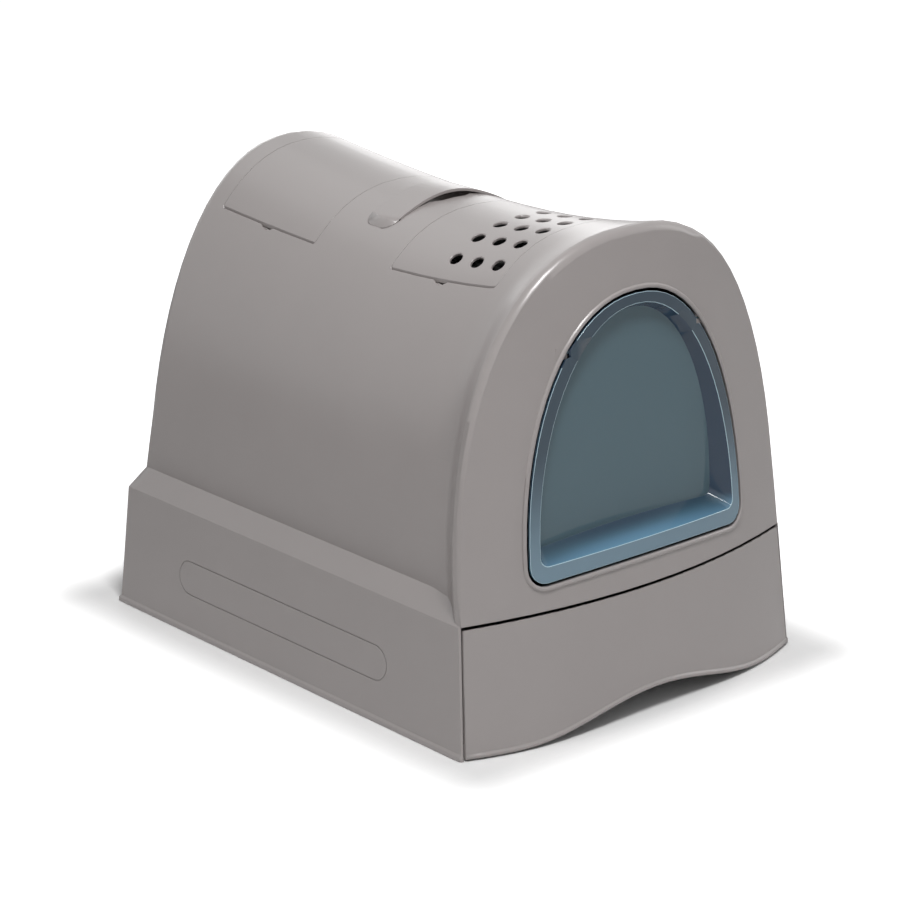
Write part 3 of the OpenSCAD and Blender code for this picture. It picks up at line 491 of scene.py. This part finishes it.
# The rim has painted light at its foot and painted shade at its top.
RIM_PAINTED_LIGHT, RIM_PAINTED_SHADE = (0.22, 0.33, 0.41), (0.07, 0.10, 0.13)
# The shelf has painted shade at the back and a painted glow at the front.
SHELF_PAINTED_SHADE, SHELF_PAINTED_GLOW = (0.05, 0.10, 0.14), (0.17, 0.36, 0.53)
# A painted highlight for the rounded edges.
PAINTED_EDGE_HIGHLIGHT = (0.6, 0.82, 0.92)

# The painted glow on the shelf grows towards the front.
forward = smoke.step(depth, -0.232, -0.262)
shelf = smoke.blend(forward, solid(SHELF_PAINTED_SHADE), solid(SHELF_PAINTED_GLOW))
upright = smoke.blend(door_part("pane"), solid(PAINTED_WALL_SHADE), solid(PANE))
dish = smoke.blend(smoke.step(height, 0.167, 0.158), upright, shelf)
# Painted light on the rim, fading to painted shade with height.
rim_painted_light = smoke.blend(smoke.step(height, 0.14, 0.26), solid(RIM_PAINTED_LIGHT), solid(RIM_PAINTED_SHADE))
sheet = smoke.blend(door_part("rim"), dish, rim_painted_light)
# The painted highlight goes over everything else on the rounded edges.
smoke.to("Base Color", smoke.blend(door_part("painted_edge_highlight"), sheet, solid(PAINTED_EDGE_HIGHLIGHT)))
paint(door, smoke)
print("door colours", PANE, SHELF_PAINTED_GLOW, PAINTED_EDGE_HIGHLIGHT)

# %% [markdown]
# ## White surroundings
# A white background must not come from more light, or the plastic would turn pale. So the world
# is white to the camera and in reflections, and lights the box at a lower, even level.

# %% World
AMBIENT = 0.25
world = bpy.data.worlds.new("studio")
bpy.context.scene.world = world
world.use_nodes = True
sky = world.node_tree.nodes["Background"]
sky.inputs["Color"].default_value = (1, 1, 1, 1)

def seen_white(tree, otherwise):
    """One for rays of the camera, gloss and glass, and the given level for all others."""
    rays = [add_node(tree, "LightPath", out=name)
            for name in ("Is Camera Ray", "Is Glossy Ray", "Is Transmission Ray")]
    level = rays[0].maths("MAXIMUM", rays[0], otherwise)
    for ray in rays[1:]:
        level = level.maths("MAXIMUM", level, ray)
    return level

feed(world.node_tree, sky.inputs["Strength"], seen_white(world.node_tree, AMBIENT))
print("ambient level", AMBIENT)

# %% [markdown]
# ## White paper that keeps a shadow
# The paper gets a glow that only the camera sees. It starts from nothing beside the box, where the
# contact shadow lies, and is at full strength a hand's width away, so that the sheet fades into
# the white. The distance is measured from the foot of the box, a plain rectangle. A glow from a
# lamp would also light the box, and a white sheet without any glow would look grey.

# %% Floor finish
HALF_FOOT = (0.2, 0.265, 0)      # half the width and length of the foot
FADE, GLOW = 0.09, 0.75          # where the glow is full, and how strong it is
paper = Finish("studio_floor", (0.9, 0.9, 0.9), 0.9)

def vector_step(operation, first, second=(0, 0, 0), out=0):
    return add_node(paper.tree, "VectorMath", {"operation": operation}, out, (first, second))

mirrored = vector_step("ABSOLUTE", paper.place)
outside = vector_step("MAXIMUM", vector_step("SUBTRACT", mirrored, HALF_FOOT))
away = vector_step("LENGTH", outside, out="Value")
seen = paper.node("LightPath", out="Is Camera Ray")
glow = paper.node("Emission", Strength=seen * (paper.step(away, 0.0, FADE) * GLOW))
both = add_node(paper.tree, "AddShader", values=(Wire(paper.tree, paper.shader.outputs[0]), glow))
feed(paper.tree, paper.tree.nodes["Material Output"].inputs["Surface"], both)
floor.data.materials.append(paper.material)
print("floor glow", GLOW, "from", FADE, "m on")

# %% [markdown]
# ## Lamps
# A softbox in front, high and to the left, is the main light. Its reflection draws the bright line
# along the front rim. A weak one behind lightens the crest, a narrow strip at the right puts a
# glint in the corner of the door, and a low fill keeps the rear wall from going dark. The first two
# were found by lighting the box with one lamp at a time and weighing the results against the
# photograph. The other two are given.

# %% Lamps
def lamp(name, place, aim, size, watts):
    data = bpy.data.lights.new(name, "AREA")
    data.shape = "RECTANGLE"
    data.size, data.size_y = size
    data.energy = watts
    made = bpy.data.objects.new(name, data)
    bpy.context.scene.collection.objects.link(made)
    made.location = place
    made.rotation_euler = (Vector(aim) - Vector(place)).to_track_quat("-Z", "Y").to_euler()
    print(name, watts, "W")

lamp("rim_high", (-0.6, -0.95, 2.05), (-0.1, -0.22, 0.35), (0.45, 0.5), 28)
lamp("rear_top", (0.2, 1.4, 2.0), (0, 0.1, 0.35), (1.4, 1.0), 2.2)
lamp("right_strip", (2.0, -1.0, 0.9), (0, -0.2, 0.25), (0.25, 1.2), 3)
lamp("rear_fill", (1.2, 2.2, 0.55), (0, 0.1, 0.1), (1.6, 0.8), 7)
